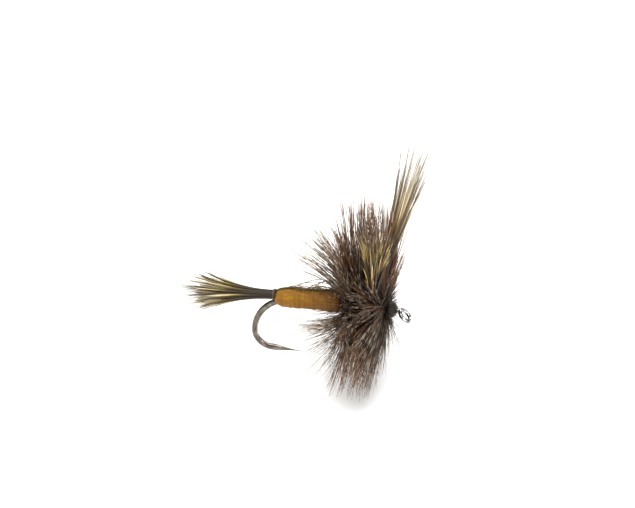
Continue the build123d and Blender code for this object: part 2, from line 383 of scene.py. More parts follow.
tail_material = strand_material(
    "tail_hair_barred",
    [
        (0.0, (0.040, 0.029, 0.015)),
        (0.40, (0.060, 0.042, 0.018)),
        (0.55, (0.15, 0.10, 0.025)),
        (0.66, (0.50, 0.355, 0.11)),
        (0.85, (0.92, 0.79, 0.50)),
        (0.94, (0.55, 0.44, 0.29)),
        (1.0, (0.20, 0.155, 0.11)),
    ],
    drift=0.26,
    tone=0.7,
    dark=(0.52, (0.020, 0.013, 0.006)),
    **HAIR_GLOSS,
)
near_wing_material = strand_material(
    "right_wing_hair_barred",
    [
        (0.0, (0.030, 0.018, 0.010)),
        (0.48, (0.055, 0.032, 0.014)),
        (0.58, (0.26, 0.155, 0.036)),
        (0.68, (0.84, 0.59, 0.19)),
        (0.88, (0.90, 0.70, 0.32)),
        (0.95, (0.16, 0.105, 0.055)),
        (1.0, (0.08, 0.052, 0.032)),
    ],
    drift=0.24,
    tone=0.8,
    dark=(0.54, (0.040, 0.023, 0.013)),
    **HAIR_GLOSS,
)
far_wing_material = strand_material(
    "left_wing_hair_barred",
    [
        (0.0, (0.035, 0.022, 0.012)),
        (0.36, (0.065, 0.040, 0.020)),
        (0.48, (0.25, 0.155, 0.048)),
        (0.60, (0.56, 0.43, 0.22)),
        (0.80, (0.80, 0.71, 0.55)),
        (0.92, (0.46, 0.38, 0.30)),
        (1.0, (0.24, 0.18, 0.14)),
    ],
    drift=0.34,
    tone=0.7,
    dark=(0.34, (0.055, 0.034, 0.020)),
    **HAIR_GLOSS,
)
back_material = strand_material(
    "back_hair",
    [(0.0, (0.05, 0.038, 0.018)), (0.5, (0.10, 0.07, 0.022)), (1.0, (0.055, 0.04, 0.018))],
    tone=0.8,
    **HAIR_GLOSS,
)
loose_back_material = strand_material(
    "loose_back_hair",
    [(0.0, (0.07, 0.048, 0.020)), (0.5, (0.18, 0.125, 0.048)), (1.0, (0.08, 0.055, 0.022))],
    tone=0.6,
    **HAIR_GLOSS,
)
brown_material = strand_material(
    "brown_barbs",
    [
        (0.0, (0.020, 0.011, 0.007)),
        (0.35, (0.060, 0.028, 0.013)),
        (0.7, (0.135, 0.060, 0.024)),
        (1.0, (0.20, 0.115, 0.060)),
    ],
    drift=0.3,
    tone=0.9,
    **BARB_GLOSS,
)
grizzly_material = strand_material(
    "grizzly_barbs",
    [
        (0.0, (0.040, 0.028, 0.020)),
        (0.35, (0.12, 0.088, 0.060)),
        (1.0, (0.44, 0.37, 0.29)),
    ],
    drift=0.2,
    tone=0.6,
    bars=(4.2, (0.050, 0.033, 0.022), 0.60),
    **BARB_GLOSS,
)
rust_material = strand_material(
    "rusty_barbs",
    [(0.0, (0.05, 0.021, 0.010)), (0.4, (0.20, 0.088, 0.034)), (1.0, (0.34, 0.20, 0.11))],
    drift=0.3,
    tone=0.8,
    **BARB_GLOSS,
)
pale_grizzly_material = strand_material(
    "pale_grizzly_barbs",
    [(0.0, (0.04, 0.028, 0.020)), (0.35, (0.17, 0.127, 0.088)), (1.0, (0.52, 0.44, 0.35))],
    drift=0.2,
    tone=0.7,
    bars=(4.2, (0.09, 0.064, 0.046), 0.42),
    **BARB_GLOSS,
)
web_material = strand_material(
    "hackle_web",
    [(0.0, (0.018, 0.011, 0.007)), (0.6, (0.048, 0.029, 0.017)), (1.0, (0.11, 0.078, 0.055))],
    tone=0.8,
    Roughness=0.75,
    Specular_IOR_Level=0.15,
)
thread_material = strand_material(
    "black_tying_thread",
    [(0.0, (0.012, 0.010, 0.010)), (0.5, (0.020, 0.017, 0.016)), (1.0, (0.012, 0.010, 0.010))],
    tone=0.4,
    Roughness=0.5,
    Specular_IOR_Level=0.4,
)
brown_thread_material = strand_material(
    "brown_tying_thread",
    [(0.0, (0.045, 0.030, 0.015)), (0.5, (0.065, 0.044, 0.020)), (1.0, (0.045, 0.030, 0.015))],
    tone=0.4,
    Roughness=0.5,
)


def floss_colour(tree):
    """Ochre that drifts between gold and orange in streaks and browns towards the collar, partly as
    painted shade from the hackle.
    """
    place = object_place(tree)
    streaks = noise(tree, stretched(tree, place, (1.1, 5.0, 5.0)), 900.0, 4.0, 0.65)
    patches = noise(tree, place, 420.0)
    forward = between(tree, axes(tree, place)[0], BODY_REAR, BODY_FRONT)
    gold = ramp(
        tree,
        streaks,
        [
            (0.28, (0.10, 0.036, 0.002)),
            (0.45, (0.19, 0.082, 0.004)),
            (0.6, (0.27, 0.128, 0.006)),
            (0.78, (0.37, 0.20, 0.018)),
        ],
    )
    orange, brown = (0.20, 0.066, 0.005), (0.10, 0.038, 0.006)
    colour = mixed(tree, ramp(tree, patches, [(0.48, 0.0), (0.66, 0.75)]), gold, orange)
    # darker brown towards the collar: partly painted shade that the hackle casts over the body's
    # front
    return mixed(tree, ramp(tree, forward, [(0.25, 0.0), (1.0, 0.6)]), colour, brown)


def floss_finish(name, pale_share, **sockets):
    """Floss, made paler by a share of pale ochre."""
    material, tree, shader = new_material(name, **sockets)
    colour = mixed(tree, pale_share, floss_colour(tree), (0.42, 0.23, 0.03))
    tree.links.new(colour, shader.inputs["Base Color"])
    return material


floss_material = floss_finish(
    "ochre_floss", 0.0, Roughness=0.5, Specular_IOR_Level=0.2, Sheen_Weight=0.04
)
filament_material = floss_finish(
    "ochre_floss_filaments", 0.18, Roughness=0.42, Specular_IOR_Level=0.22
)


def hook_steel():
    """Bronzed wire, rubbed bright at the eye, with a painted highlight inside the bend and fine lines
    along it.
    """
    highlight_colour = (0.90, 0.87, 0.83)
    material, tree, shader = new_material("bronzed_steel", Metallic=1.0)
    place = object_place(tree)
    x = axes(tree, place)[0]
    bloom = noise(tree, place, 1400.0, 5.0, 0.6)
    bronze = ramp(
        tree,
        bloom,
        [(0.3, (0.065, 0.052, 0.040)), (0.52, (0.13, 0.11, 0.090)), (0.72, (0.24, 0.215, 0.19))],
    )
    silver = ramp(tree, bloom, [(0.42, (0.16, 0.155, 0.15)), (0.56, (0.78, 0.765, 0.74))])
    facing = add_node(tree, "ShaderNodeTexCoord").outputs["Normal"]
    # painted highlight: the sides of the bend's inside that face forward get pale steel colour,
    # standing in for a lamp's glint
    inward = ramp(tree, axes(tree, facing)[0], [(0.45, 0.0), (0.8, 0.9)])
    painted_highlight = maths(tree, "MULTIPLY", inward, between(tree, x, *BEND_HIGHLIGHT))
    bronze = mixed(tree, painted_highlight, bronze, highlight_colour)
    colour = mixed(tree, between(tree, x, *WORN_EYE), bronze, silver)
    tree.links.new(colour, shader.inputs["Base Color"])
    lines = noise(tree, stretched(tree, place, (1.0, 12.0, 3.0)), 2500.0, 3.0)
    tree.links.new(maths(tree, "MULTIPLY_ADD", lines, 0.18, 0.13), shader.inputs["Roughness"])
    add_bump(tree, shader, lines, strength=0.3, depth=0.01)
    return material


def head_varnish():
    """Black thread seen through clear head varnish, dull and slightly uneven."""
    material, tree, shader = new_material(
        "varnished_head", Coat_Weight=0.07, Coat_Roughness=0.2, Specular_IOR_Level=0.18
    )
    mottle = noise(tree, object_place(tree), 2600.0, 4.0)
    colour = ramp(tree, mottle, [(0.3, (0.005, 0.004, 0.003)), (0.7, (0.022, 0.016, 0.012))])
    tree.links.new(colour, shader.inputs["Base Color"])
    tree.links.new(maths(tree, "MULTIPLY_ADD", mottle, 0.3, 0.32), shader.inputs["Roughness"])
    return material


def horn_material(name, dark, pale):
    """A quill's or a hair butt's horn, darker in streaks."""
    material, tree, shader = new_material(name, Roughness=0.35)
    streak = noise(tree, object_place(tree), 1800.0, 3.0)
    tree.links.new(ramp(tree, streak, [(0.35, dark), (0.65, pale)]), shader.inputs["Base Color"])
    return material


def paint(node, material):
    """Gives a CAD node that stays its finish."""
    mesh = nodes[node].data
    mesh.materials.clear()
    mesh.materials.append(material)


varnish = head_varnish()
paint("hook", hook_steel())
for horn_node, horn_name, horn_dark, horn_pale in (
    ("brown_hackle_stem", "brown_quill", (0.05, 0.02, 0.008), (0.14, 0.07, 0.03)),
    ("grizzly_hackle_stem", "grizzly_quill", (0.06, 0.048, 0.038), (0.16, 0.135, 0.11)),
    ("underbody", "hair_butts", (0.08, 0.06, 0.03), (0.25, 0.19, 0.10)),
):
    paint(horn_node, horn_material(horn_name, horn_dark, horn_pale))


# ---------------------------------------------------------------- wound thread


def wound(bundle, origin, way, start, end, inner, outer, thread):
    """Winds thread in neat layers round a line, back and forth from inner to outer radius.

    inner and outer are numbers, or pairs for the two ends where the band tapers.
    """
    steps, run_points = 22, 400  # points to a turn, and about how many make one strand
    touching, flatness = 1.04, 0.86  # thread is pressed against its neighbours
    way = unit(way)
    along_y = abs(way[1]) > 0.9
    across = unit(np.cross(way, FORWARD if along_y else (0.0, 1.0, 0.02)))
    other = np.cross(way, across)
    inner, outer = np.broadcast_to(inner, 2), np.broadcast_to(outer, 2)
    depth = float(np.max(outer - inner))
    layers = max(1, round(depth / thread * 1.1))
    turns = max(1.5, (end - start) / thread)
    path, out = [], []
    for layer in range(layers):
        share = np.linspace(0, 1, int(turns * steps) + 1)
        run = share if layer % 2 == 0 else 1 - share
        level = 1.0 if layers == 1 else (layer + 1) / layers
        radius = np.interp(run, [0, 1], inner + (outer - inner) * level) - thread / 2
        angle = math.tau * turns * (share + layer)
        place = start + thread / 2 + (end - start - thread) * run
        ray = np.cos(angle)[:, None] * across + np.sin(angle)[:, None] * other
        path.append(origin + way * place[:, None] + ray * radius[:, None])
        out.append(ray)
    path, out = np.concatenate(path), np.concatenate(out)
    keep = np.concatenate([[True], np.linalg.norm(np.diff(path, axis=0), axis=1) > 1e-4])
    path, out = path[keep], out[keep]
    pieces = max(1, len(path) // run_points)
    runs = zip(np.array_split(path, pieces), np.array_split(out, pieces))
    for number, (run, rays) in enumerate(runs):
        shade = (number * 0.37) % 1
        bundle.strand(run, thread / 2 * touching, shade, facing=rays, flat=flatness)


def thread_band(node, thread=0.075, outer=None, inner=THREAD_TOP):
    """A band of thread round the shank where its CAD node is."""
    low, high = span(node)
    outer = (high - low)[2] / 2 if outer is None else outer
    bundle = Bundle(6)
    wound(bundle, SHANK, FORWARD, low[0], high[0], inner, outer, thread)
    bundle.make(f"{node}_wound", thread_material, (node,), "black_thread")


thread_band("thread_base", thread=0.085, inner=HOOK_WIRE)
thread_band("shellback_tie_down")
thread_band("hackle_tie_in_wraps")
thread_band("wing_dam_wraps", outer=(0.56, 0.42))
thread_band("hackle_tie_off_wraps")
thread_band("whip_finish", outer=(0.38, 0.33), inner=HOOK_WIRE)

lashing_low, lashing_high = span("tail_lashing")
LASHING_Z = middle("tail_lashing")[2]


def make_tail_lashing():
    """The one layer of brown thread that binds the tail and the back hair at the bend."""
    inner, outer, thread = 0.46, 0.53, 0.06
    line = np.array([0.0, 0.0, LASHING_Z])
    bundle = Bundle(6)
    wound(bundle, line, FORWARD, lashing_low[0], lashing_high[0], inner, outer, thread)
    bundle.make("tail_lashing_wound", brown_thread_material, ("tail_lashing",), "black_thread")


make_tail_lashing()


# ---------------------------------------------------------------- head


def head_profile(share):
    """Radius of the thread head from its rear, at 0, to its front, at 1."""
    rear, shoulder, front = 0.62, 0.73, 0.43
    places = [0, 0.18, 0.4, 0.62, 0.82, 1.0]
    return np.interp(share, places, [rear, 0.70, shoulder, 0.68, 0.58, front])


def make_head():
    """The cone of thread, with varnish that softens its ridges."""
    thread, steps, runs = 0.062, 26, 6
    low, high = span("thread_head")
    length = high[0] - low[0]
    turns = length / thread
    share = np.linspace(0, 1, int(turns * steps))
    angle = math.tau * turns * share
    rays = rays_at(angle)
    path = SHANK + rays * (head_profile(share) - thread / 2)[:, None]
    path[:, 0] += low[0] + length * share
    bundle = Bundle(6)
    for number, (run, out) in enumerate(zip(np.array_split(path, runs), np.array_split(rays, runs))):
        bundle.strand(run, thread / 2 * 1.05, number / runs, facing=out)
    bundle.make("thread_head_wound", thread_material, ("thread_head",), "black_thread")

    rings, sides = 60, 72
    varnish_depth, ridge_depth, lump_depth = 0.04, 0.007, 0.012
    end_share, end_rounding, overhang = 0.05, 0.08, 0.01
    along = np.linspace(0, 1, rings)
    angle = math.tau * np.arange(sides) / sides
    lumps = np.sin(3 * angle[None, :] + 9 * along[:, None]) * np.sin(5 * along[:, None] + 1)
    ridges = np.cos(math.tau * turns * along[:, None] - angle[None, :])
    radius = head_profile(along)[:, None] + varnish_depth
    radius = radius + ridge_depth * ridges + lump_depth * lumps
    inside = np.clip(np.minimum(along, 1 - along) / end_share, 0, 1)[:, None]
    radius = radius - end_rounding * (1 - np.sqrt(1 - (1 - inside) ** 2))
    x = low[0] - overhang + (length + 2 * overhang) * along
    points = around_shank(x, radius, angle, SHANK_Z)
    faces, maps = grid_faces(rings, sides)
    make_piece("head_varnish", points, faces, maps, varnish, ("head_cement",))


make_head()


# ---------------------------------------------------------------- body


class Surface:
    """The outside of a CAD node, met along rays towards a line inside it."""

    REACH = 4.0  # how far out a ray starts, well outside the fly's body

    def __init__(self, node):
        mesh = nodes[node].data
        points = [v.co / MM for v in mesh.vertices]
        self.tree = BVHTree.FromPolygons(points, [tuple(p.vertices) for p in mesh.polygons])

    def radius(self, x, height, angle):
        """Distance from the line at x and height to the surface, along a ray at angle."""
        ray = Vector((0.0, math.cos(angle), math.sin(angle)))
        hit = self.tree.ray_cast(Vector((x, 0.0, height)) + ray * self.REACH, -ray)
        return self.REACH - hit[3] if hit[0] is not None else None


BODY_HEIGHTS = (0.66, 0.87)  # of the body's middle line, at its rear and its front
FLOSS_PITCH = 0.27
FLOSS_SWELL = 1.05  # the floss's fullness, against the CAD's body
RIB_DEPTH = 0.022
MISSED_RADIUS = 0.6  # used where a ray misses the body's form
REAR_ROUNDING, FRONT_ROUNDING = 0.30, 0.22  # how far the rounded ends reach
END_SHARE = 0.62  # an end's radius, against the body's beside it
body_form = Surface("floss_body")


def body_height(x):
    """Height of the body's middle line."""
    return np.interp(x, [BODY_REAR, BODY_FRONT], BODY_HEIGHTS)


def body_grid(rings, angles):
    """Places along the body, and the wound floss's radius at each place and angle."""
    coarse_x = np.linspace(BODY_REAR + 0.02, BODY_FRONT - 0.02, 40)
    coarse_angles = angles[::4]
    coarse = np.array(
        [
            [body_form.radius(x, body_height(x), a) or MISSED_RADIUS for a in coarse_angles]
            for x in coarse_x
        ]
    )
    table = np.array([np.interp(angles, coarse_angles, row, period=math.tau) for row in coarse])
    x = BODY_REAR + (BODY_FRONT - BODY_REAR) * np.linspace(0, 1, rings)
    radius = np.array([np.interp(x, coarse_x, column) for column in table.T]).T
    turn = x[:, None] / FLOSS_PITCH - angles[None, :] / math.tau
    rib = np.abs(np.sin(math.pi * turn)) ** 0.6
    which = np.floor(turn)
    swell = 0.02 * np.sin(which * 2.3) + 0.012 * np.sin(which * 5.1 + 1)
    radius = FLOSS_SWELL * radius - RIB_DEPTH * (1 - rib) + swell
    from_end = np.minimum((x - BODY_REAR) / REAR_ROUNDING, (BODY_FRONT - x) / FRONT_ROUNDING)
    from_end = from_end.clip(0, 1)[:, None]
    return x, radius * (END_SHARE + (1 - END_SHARE) * np.sqrt(1 - (1 - from_end) ** 2))


def make_body():
    """Floss wound over the body's form, with ribs where its turns meet."""
    rings, sides = 210, 96
    angles = math.tau * np.arange(sides) / sides
    x, radius = body_grid(rings, angles)
    points = around_shank(x, radius, angles, body_height(x)[:, None])
    faces, maps = grid_faces(rings, sides)
    make_piece(
        "floss_body_wound", points, faces, maps, floss_material, ("floss_body",)
    )
    make_filaments(radius)


def make_filaments(radius):
    """Single filaments that stand off the floss, over the body's grid of radii."""
    rings, sides = radius.shape
    body_length = BODY_FRONT - BODY_REAR
    steps = 22
    filaments = Bundle(4)
    for _ in range(260):
        first = rng.uniform(0, 1)
        arc = rng.uniform(0.25, 0.9)
        angle = rng.uniform(0, math.tau) + np.linspace(0, math.tau * arc, steps)
        drift = rng.uniform(-0.12, 0.12)
        place = BODY_REAR + 0.25 + (body_length - 0.5) * first
        place = place + (FLOSS_PITCH + drift) * np.linspace(0, arc, steps)
        place = place.clip(BODY_REAR + 0.2, BODY_FRONT - 0.1)
        ring = ((place - BODY_REAR) / body_length * (rings - 1)).astype(int)
        side = (angle / math.tau * sides).astype(int) % sides
        reach = radius[ring, side] + 0.006 + 0.01 * rng.uniform()
        rays = rays_at(angle)
        path = rays * reach[:, None]
        path[:, 0] = place
        path[:, 2] += body_height(place)
        path[1:-1] = (path[:-2] + 2 * path[1:-1] + path[2:]) / 4
        filaments.strand(path, rng.uniform(0.010, 0.017), rng.uniform(), facing=rays)
    filaments.make("floss_filaments", filament_material, (), "ochre_floss")


make_body()


# ---------------------------------------------------------------- back


def back_line():
    """Shares of the body's length, the places at them, and the height of its crown there."""
    shares = np.linspace(0, 1, 18)
    x = BODY_REAR + 0.12 + (BODY_FRONT - 0.15 - BODY_REAR) * shares
    crown = [body_height(a) + body_form.radius(a, body_height(a), math.pi / 2) for a in x]
    return shares, x, np.array(crown)


def make_back_strip(shares, x, crown, half, front):
    """The strip of hair drawn forward over the body from the tail's lashing to the collar."""
    rear_x, toe_x = lashing_low[0] + 0.05, front - 0.12
    rear_z, toe_z = LASHING_Z + 0.40, SHANK_Z + 0.68
    strip = Bundle(5)
    for _ in range(46):
        side = rng.uniform(-0.12, 0.9) * half
        sink = rng.uniform(0.0, 0.10)
        wander = np.cumsum(rng.normal(0, 0.012, len(x)))
        y = side * (0.6 + 0.4 * np.sin(math.pi * shares)) + wander
        z = crown + 0.10 - sink - 0.5 * y**2
        path = np.stack([x, y, z], axis=1)
        rear = [[rear_x, side * 0.4, rear_z - sink]]
        toe = [[toe_x, side * 0.5, toe_z - sink]]
        path = np.concatenate([rear, path, toe])
        strip.strand(path, rng.uniform(0.026, 0.042), rng.uniform())
    strip.make("shellback_hairs", back_material, ("shellback_hair",), "back_hair")


def make_loose_back(shares, crown, half):
    """The few hairs of the strip that lift off the back. Each has its ends, lift and side."""
    steps = 18
    arch = np.sin(math.pi * np.linspace(0, 1, steps) ** 1.25) ** 0.9
    loose = Bundle(5)
    for start, stop, lift, side in (
        (0.06, 0.90, 0.50, -0.2),
        (0.12, 0.97, 0.80, 0.3),
        (0.22, 0.98, 1.15, 0.1),
        (0.30, 1.00, 0.85, -0.6),
        (0.15, 0.80, 0.30, 0.7),
        (0.42, 1.04, 0.80, 0.5),
        (0.36, 1.02, 0.60, -0.3),
        (0.50, 1.06, 1.20, -0.1),
    ):
        share = np.linspace(start, stop, steps)
        x = BODY_REAR + (BODY_FRONT - BODY_REAR) * share
        y = side * half * (1 + 0.8 * arch)
        z = np.interp(share, shares, crown) + 0.03 + lift * arch - 0.12 * abs(side)
        path = np.stack([x, y, z], axis=1)
        loose.strand(path, taper(0.026, 0.042, 0.020, steps, 0.5), rng.uniform())
    loose.make("shellback_loose_hairs", loose_back_material, (), "back_hair")


def make_back():
    """The strip of hair drawn over the body, and the few hairs of it that lift off."""
    low, high = span("shellback_hair")
    half = (high - low)[1] / 2
    shares, x, crown = back_line()
    make_back_strip(shares, x, crown, half, high[0])
    make_loose_back(shares, crown, half)


make_back()


# ---------------------------------------------------------------- tail

HAIR_STEPS = 16
TAIL_COUNT = 210
TAIL_CLUMPS = 48
TAIL_FLARE = 1.95  # radius of the brush of tips
ROOT_RADIUS = 0.42
STACKED_SHARE = 0.84  # share of the hairs that end level, short of the few long tips


def make_tail():
    """Stiff hairs bound in a narrow root that flare like a brush, with a few long fine tips."""
    low, high = span("tail_hair")
    root = np.array([high[0] - 0.15, 0.0, LASHING_Z])
    tip = np.array([low[0], 0.0, (low[2] + high[2]) / 2])
    butt = np.array([BODY_REAR + 0.22, 0.0, body_height(BODY_REAR)])
    way = unit(tip - root)
    side = unit(np.cross(way, (0, 0, 1)))
    up = np.cross(side, way)
    reach = np.linalg.norm(tip - root)
    bundle = Bundle(5)
    roots = in_disc(TAIL_COUNT)
    flared = roots * TAIL_FLARE + rng.normal(0, 0.13, (TAIL_COUNT, 2))
    tips = clumped(flared, TAIL_CLUMPS, 0.42)
    for (u, v), (s, t) in zip(roots, tips):
        spoke = side * u + up * v
        start = root + spoke * ROOT_RADIUS
        stacked = rng.uniform() < STACKED_SHARE
        length = reach * (rng.uniform(0.66, 0.82) if stacked else rng.uniform(0.82, 1.0))
        waist = start + way * length * 0.47 - spoke * 0.10
        end = root + way * length + side * s + up * t
        path = np.concatenate([[butt + spoke * 0.34], bezier(start, waist, end, HAIR_STEPS)])
        width = rng.uniform(0.046, 0.066)
        radii = taper(0.8 * width, width, 0.010, HAIR_STEPS + 1, 0.62)
        bundle.strand(path, radii, rng.uniform())
    for lean, rise in ((0.10, -1.45), (-0.05, -1.85), (0.16, -1.2), (0.0, 1.5)):
        start = root + up * 0.38 * np.sign(rise)
        end = root + way * reach * rng.uniform(0.74, 0.88) + up * rise + side * lean
        path = bezier(start, start + way * reach * 0.42, end, HAIR_STEPS)
        bundle.strand(path, taper(0.03, 0.045, 0.01, HAIR_STEPS, 0.5), 0.9)
    bundle.make("tail_hairs", tail_material, ("tail_hair",), "tail_hair")


make_tail()


# ---------------------------------------------------------------- wings

# The point on the shank that both wings stand on.
WING_STATION = np.array([middle("right_wing_post_wraps")[0] - 0.2, 0.0, SHANK_Z])
POST_SPAN = (0.90, 1.30)  # where the thread round a wing's foot starts and ends, from the shank
POST_RADII = (0.55, 0.63)


def make_wing(label, side, material, count, spread, stretch):
    """One upright bunch of hair, bound at its foot, whose tips gather in points.

    side is -1 for the fly's right. spread is the radius of the tips, and stretch lengthens the
    hairs past the CAD's.
    """
    low, high = span(f"{label}_wing_hair")
    out = max(abs(low[1]), abs(high[1]))
    inset = 1.2 if side < 0 else 0.9
    tip_middle = np.array([high[0] - inset, side * (out - 1.05), high[2] - 0.8])
    way = unit(tip_middle - WING_STATION)
    reach = np.linalg.norm(tip_middle - WING_STATION) * stretch
    across = unit(np.cross(way, FORWARD))
    other = np.cross(across, way)
    bundle = Bundle(5)
    roots = in_disc(count)
    tips = clumped(roots + rng.normal(0, 0.15, (count, 2)), count // 5, 0.5) * spread
    for (u, v), (s, t) in zip(roots, tips):
        spoke, tip_spoke = across * u + other * v, across * s + other * t
        start = WING_STATION + way * 0.62 + spoke * 0.36
        bound = WING_STATION + way * 1.15 + spoke * 0.42
        short = rng.uniform() < 0.65
        length = reach * (rng.uniform(0.70, 0.93) if short else rng.uniform(0.93, 1.03))
        end = WING_STATION + way * length + tip_spoke * length / reach
        stray = rng.normal(0, 0.11, 2)
        bow = bound + way * length * 0.42 - tip_spoke * 0.04
        bow = bow + across * stray[0] + other * stray[1]
        path = np.concatenate([[start], bezier(bound, bow, end, HAIR_STEPS - 1)])
        width = rng.uniform(0.042, 0.060)
        radii = taper(0.9 * width, width, 0.010, HAIR_STEPS, 0.55)
        bundle.strand(path, radii, rng.uniform())
    bundle.make(f"{label}_wing_hairs", material, (f"{label}_wing_hair",), "wing_hair")

    post = Bundle(6)
    wound(post, WING_STATION, way, *POST_SPAN, *POST_RADII, 0.075)
    wraps = f"{label}_wing_post_wraps"
    post.make(f"{label}_wing_post_wound", thread_material, (wraps,), "black_thread")


make_wing("right", -1, near_wing_material, count=190, spread=1.85, stretch=1.07)
make_wing("left", 1, far_wing_material, count=125, spread=1.7, stretch=1.06)


def make_crossing():
    """Thread crossed between the wings."""
    radius, gap, tilt = 0.42, 0.07, math.radians(32)
    angle = np.linspace(0, math.tau, 40)
    bundle = Bundle(6)
    for yaw in (-tilt, tilt):
        axis = np.array([math.cos(yaw), math.sin(yaw), 0.0])
        level_way = np.array([-math.sin(yaw), math.cos(yaw), 0.0])
        rays = np.cos(angle)[:, None] * level_way + np.sin(angle)[:, None] * UP
        for turn in (-gap, 0.0, gap):
            path = WING_STATION + axis * turn + rays * radius
            bundle.strand(path, 0.036, 0.3 + turn, facing=rays)
    bundle.make("figure_eight_wound", thread_material, ("figure_eight_wraps",), "black_thread")


make_crossing()


# ---------------------------------------------------------------- hackle

REAR_PITCH, FRONT_PITCH = 0.54, 0.5  # how far apart the turns are behind and before the wings
REAR_START, FRONT_START = 0.1, -0.74  # the first turns, from the quill's rear and from its front
REAR_TURNS, FRONT_TURNS = 3.2, 1.7  # turns of each feather behind and in front of the wings
WING_ANGLE = 0.62  # where a wing stands, from the top round towards its side
WING_HALF = 0.42  # half of the angle that a wing fills
BARB_ROOT = 0.46
BARB_LENGTH = 8.4
BARB_STEPS = 9
CLUMP_STEP = 0.27  # angle from one gathering of barb tips to the next
CLUMP_PULL = 0.70
NEAR_LEAN, FAR_LEAN = 0.13, -0.06  # forward lean of the barbs at the right and left sides
TOP_LEAN, BOTTOM_LEAN = -0.09, -0.27
LAST_SWEPT_TURN = 2.4  # no barb lies back from the turns after it
STRAY_SHARE = 0.06  # of the front barbs
SHORT_SHARE = 0.12  # of all barbs


def outward(angle):
    """Direction square to the shank, at an angle from the top round towards the right side."""
    return np.array([0.0, -math.sin(angle), math.cos(angle)])


def parted(angle):
    """The angle of a barb once the wing beside it has pushed it aside."""
    round_turn = angle % math.tau
    for wing in (WING_ANGLE, math.tau - WING_ANGLE):
        gap = round_turn - wing
        if abs(gap) < WING_HALF:
            return angle + math.copysign((WING_HALF - abs(gap)) * 0.45, gap)
    return angle


def rear_lean(turn, out):
    """Forward lean of a barb behind the wings, strongest on the first turns."""
    level = NEAR_LEAN if out[1] < 0 else FAR_LEAN
    sweep = np.interp(out[2], [-1, -0.3, 0.5, 1], [BOTTOM_LEAN, level, level, TOP_LEAN])
    return sweep * np.interp(turn, [0, 0.8, REAR_TURNS], [1.25, 1.0, 0.15]) + rng.normal() * 0.06


def front_lean(turn, out):
    """Forward lean of a barb in front of the wings, which falls back under the fly."""
    lean = np.interp(turn, [0, FRONT_TURNS], [-0.10, 0.03]) + rng.normal() * 0.04
    return lean + 0.15 * min(out[2], 0)


def habit(behind, turn, out, swept):
    """Whether a barb lies back, how much further forward it leans, and the share of length it keeps.

    swept is the share of the rearmost barbs that lie back. Those on the right side, level with
    the body, never do, so that the body's front shows.
    """
    stray = rng.uniform()
    clear_of_body = out[1] > 0 or out[2] < -0.3 or out[2] > 0.8
    lies_back = behind and turn < LAST_SWEPT_TURN and stray < swept and clear_of_body
    lean, kept = 0.0, 1.0
    if lies_back:
        far_back = rng.uniform() < 0.5 and out[2] < 0.1
        lean = -rng.uniform(1.0, 2.7) if far_back else -rng.uniform(0.25, 0.95)
        kept = rng.uniform(0.66, 0.80) if far_back else rng.uniform(0.70, 0.93)
    elif not behind and stray < STRAY_SHARE and out[2] > 0.4:
        lean = rng.uniform(0.12, 0.30)
        kept = 0.6
    if rng.uniform() < SHORT_SHARE:
        kept *= rng.uniform(0.55, 0.85)
    return lies_back, lean, kept


def make_barbs(label, material, back_material, first_turn, count, width, swept):
    """Barbs that stand out from one feather's turns behind and in front of the wings.

    The ones that lie back have their own piece and material.
    """
    stem_low, stem_high = span(f"{label}_hackle_stem")
    upright, laid_back = Bundle(4), Bundle(4)
    clumps = rng.uniform(0, 1, (200, 2))
    for number in range(count):
        share = (number + rng.uniform(-0.4, 0.4)) / count * (REAR_TURNS + FRONT_TURNS)
        behind = share < REAR_TURNS
        turn = share if behind else share - REAR_TURNS
        angle = math.tau * (first_turn + turn)
        if behind:
            out = outward(angle)
            x = stem_low[0] + REAR_START + REAR_PITCH * turn
            lean = rear_lean(turn, out)
        else:
            angle = parted(angle)
            out = outward(angle)
            x = stem_high[0] + FRONT_START + FRONT_PITCH * turn
            lean = front_lean(turn, out)
        upward = out[2]
        clump = math.floor(angle / CLUMP_STEP)
        gather = clumps[clump % len(clumps)]
        clump_angle = (clump + 0.2 + 0.6 * gather[0]) * CLUMP_STEP
        tip_angle = angle + CLUMP_PULL * (clump_angle - angle) + rng.normal() * 0.035
        tip_lean = lean + 0.10 * (gather[1] - 0.5)
        length = BARB_LENGTH * rng.uniform(0.92 if upward > 0 else 0.82, 1.04)
        length *= 1.0 + 0.17 * max(upward, 0) - 0.065 * max(-upward, 0)
        lies_back, lean_change, kept = habit(behind, turn, out, swept)
        tip_lean += lean_change
        length *= kept
        start = np.array([x, 0.0, SHANK_Z]) + out * BARB_ROOT
        end = start + unit(outward(tip_angle) + FORWARD * tip_lean) * length
        knee_lean = lean * 0.55 + (tip_lean - lean) * 0.35
        knee = start + unit(out + FORWARD * knee_lean) * length * 0.45
        thick = width * rng.uniform(0.8, 1.2) * (1.0 + 0.22 * upward)
        radii = taper(thick, thick, 0.008, BARB_STEPS, 0.4)
        bundle = laid_back if lies_back else upright
        bundle.strand(bezier(start, knee, end, BARB_STEPS), radii, rng.uniform())
    slot = f"{label}_feather"
    upright.make(f"{label}_barbs", material, (f"{label}_hackle_barbs",), slot)
    laid_back.make(f"{label}_barbs_laid_back", back_material, (), slot)


make_barbs("brown", brown_material, rust_material, 0.5, count=1050, width=0.040, swept=0.20)
make_barbs(
    "grizzly", grizzly_material, pale_grizzly_material, 0.0, count=1000, width=0.038, swept=0.80
)


